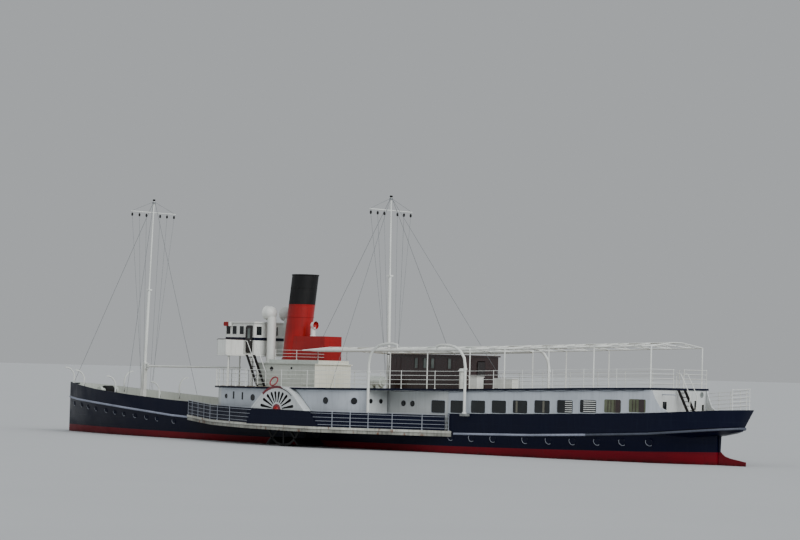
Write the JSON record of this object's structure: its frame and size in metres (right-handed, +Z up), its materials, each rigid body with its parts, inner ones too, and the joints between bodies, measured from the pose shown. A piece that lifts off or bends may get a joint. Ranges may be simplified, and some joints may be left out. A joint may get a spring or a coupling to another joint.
{
  "type": "paddle steamer scale model",
  "caption": "A one-tenth scale model of a day-trip paddle steamer, with side paddle boxes, an open promenade deck, a raked funnel and a bridge",
  "frame": {"origin": "on the waterline at the centreline, amidships, 1.7 m of full size abaft the paddle shaft", "axes": "+X towards the bow, +Y to port, +Z up"},
  "size_m": [5.8867, 1.418, 1.7492],
  "materials": {
    "navy_paint": "gloss navy hull paint, worn along the plating",
    "white_paint": "satin white paint",
    "pale_green_paint": "satin pale grey-green paint",
    "red_paint": "gloss red paint",
    "black_paint": "black paint, sooty at the top",
    "grey_paint": "light grey paint, rubbed and dirty on the bands",
    "deck_wood": "laid deck planks, weathered",
    "varnished_wood": "dark varnished wood",
    "bottom_red_paint": "dull red bottom paint"
  },
  "bodies": {
    "ship": {"hull": "navy_paint", "belting_forward": "grey_paint", "belting_aft": "grey_paint", "fore_bulwark": "navy_paint", "aft_plating": "navy_paint", "saloon_walls": "white_paint", "midship_walls": "white_paint", "sponson_port": "grey_paint", "sponson_starboard": "grey_paint", "paddle_box_port": "white_paint", "paddle_box_starboard": "white_paint", "side_house_fore_port": "white_paint", "side_house_fore_starboard": "white_paint", "side_house_aft_port": "white_paint", "side_house_aft_starboard": "white_paint", "sponson_bulwark_port": "navy_paint", "sponson_bulwark_starboard": "navy_paint", "promenade_deck": "deck_wood", "promenade_rail": "white_paint", "deckhouse": "pale_green_paint", "funnel": "red_paint", "funnel_top": "black_paint", "casing": "red_paint", "deckhouse_rail": "white_paint", "bridge_deck": "white_paint", "bridge_dodger": "white_paint", "wheelhouse_walls": "white_paint", "wheelhouse_roof": "white_paint", "bridge_ladder_port": "varnished_wood", "bridge_ladder_starboard": "varnished_wood", "aft_ladder": "varnished_wood", "wood_house_walls": "varnished_wood", "wood_house_roof": "varnished_wood", "awning_frame": "white_paint", "foremast": "white_paint", "foremast_stays": "grey_paint", "mainmast": "white_paint", "mainmast_stays": "grey_paint", "windlass": "grey_paint", "life_raft_port": "white_paint", "life_raft_starboard": "white_paint", "deck_locker_fore": "white_paint", "deck_locker_aft": "white_paint", "mushroom_ventilator": "white_paint", "stern_rail": "white_paint"},
    "paddle_wheels": {"paddle_wheels": "bottom_red_paint"},
    "rudder": {"rudder": "bottom_red_paint"},
    "davit_fore_port": {"davit_fore_port": "grey_paint"},
    "davit_fore_starboard": {"davit_fore_starboard": "grey_paint"},
    "davit_aft_port": {"davit_aft_port": "grey_paint"},
    "davit_aft_starboard": {"davit_aft_starboard": "grey_paint"},
    "derrick_heel": {"derrick_heel": "white_paint"},
    "derrick_boom": {"derrick_boom": "white_paint"},
    "wheelhouse_door_port": {"wheelhouse_door_port": "varnished_wood"},
    "wheelhouse_door_starboard": {"wheelhouse_door_starboard": "varnished_wood"},
    "wood_house_door": {"wood_house_door": "varnished_wood"},
    "cowl_port": {"cowl_port": "white_paint"},
    "cowl_starboard": {"cowl_starboard": "white_paint"},
    "casing_cowl": {"casing_cowl": "white_paint"}
  },
  "joints": [
    {"name": "paddle_wheels_turn", "type": "hinge", "parent": "ship", "child": "paddle_wheels", "pos_m": [0.17, 0, 0.15], "axis": [0, 1, 0], "continuous": true},
    {"name": "rudder_turn", "type": "hinge", "parent": "ship", "child": "rudder", "pos_m": [-2.7065, 0, 0], "axis": [0, 0, 1], "range_deg": [-35, 35]},
    {"name": "davit_fore_port_turn", "type": "hinge", "parent": "ship", "child": "davit_fore_port", "pos_m": [-0.495, 0.572, 0.4], "axis": [0, 0, 1], "range_deg": [-170, 0]},
    {"name": "davit_fore_starboard_turn", "type": "hinge", "parent": "ship", "child": "davit_fore_starboard", "pos_m": [-0.495, -0.572, 0.4], "axis": [0, 0, 1], "range_deg": [0, 170]},
    {"name": "davit_aft_port_turn", "type": "hinge", "parent": "ship", "child": "davit_aft_port", "pos_m": [-1.12, 0.393, 0.4], "axis": [0, 0, 1], "range_deg": [0, 170]},
    {"name": "davit_aft_starboard_turn", "type": "hinge", "parent": "ship", "child": "davit_aft_starboard", "pos_m": [-1.12, -0.393, 0.4], "axis": [0, 0, 1], "range_deg": [-170, 0]},
    {"name": "derrick_slew", "type": "hinge", "parent": "ship", "child": "derrick_heel", "pos_m": [2.158, 0, 0.476], "axis": [0, 0, 1], "range_deg": [-45, 45]},
    {"name": "derrick_luff", "type": "hinge", "parent": "derrick_heel", "child": "derrick_boom", "pos_m": [2.144, 0, 0.476], "axis": [0, 1, 0], "range_deg": [0, 60]},
    {"name": "wheelhouse_door_port_swing", "type": "hinge", "parent": "ship", "child": "wheelhouse_door_port", "pos_m": [1.005, 0.1734, 0.67], "axis": [0, 0, 1], "range_deg": [-100, 0]},
    {"name": "wheelhouse_door_starboard_swing", "type": "hinge", "parent": "ship", "child": "wheelhouse_door_starboard", "pos_m": [1.005, -0.1734, 0.67], "axis": [0, 0, 1], "range_deg": [0, 100]},
    {"name": "wood_house_door_swing", "type": "hinge", "parent": "ship", "child": "wood_house_door", "pos_m": [-0.9084, 0.035, 0.475], "axis": [0, 0, 1], "range_deg": [-110, 0]},
    {"name": "cowl_port_turn", "type": "hinge", "parent": "ship", "child": "cowl_port", "pos_m": [0.862, 0.078, 0.7], "axis": [0, 0, 1], "continuous": true},
    {"name": "cowl_starboard_turn", "type": "hinge", "parent": "ship", "child": "cowl_starboard", "pos_m": [0.862, -0.078, 0.7], "axis": [0, 0, 1], "continuous": true},
    {"name": "casing_cowl_turn", "type": "hinge", "parent": "ship", "child": "casing_cowl", "pos_m": [0.525, 0.03, 0.74], "axis": [0, 0, 1], "continuous": true}
  ]
}
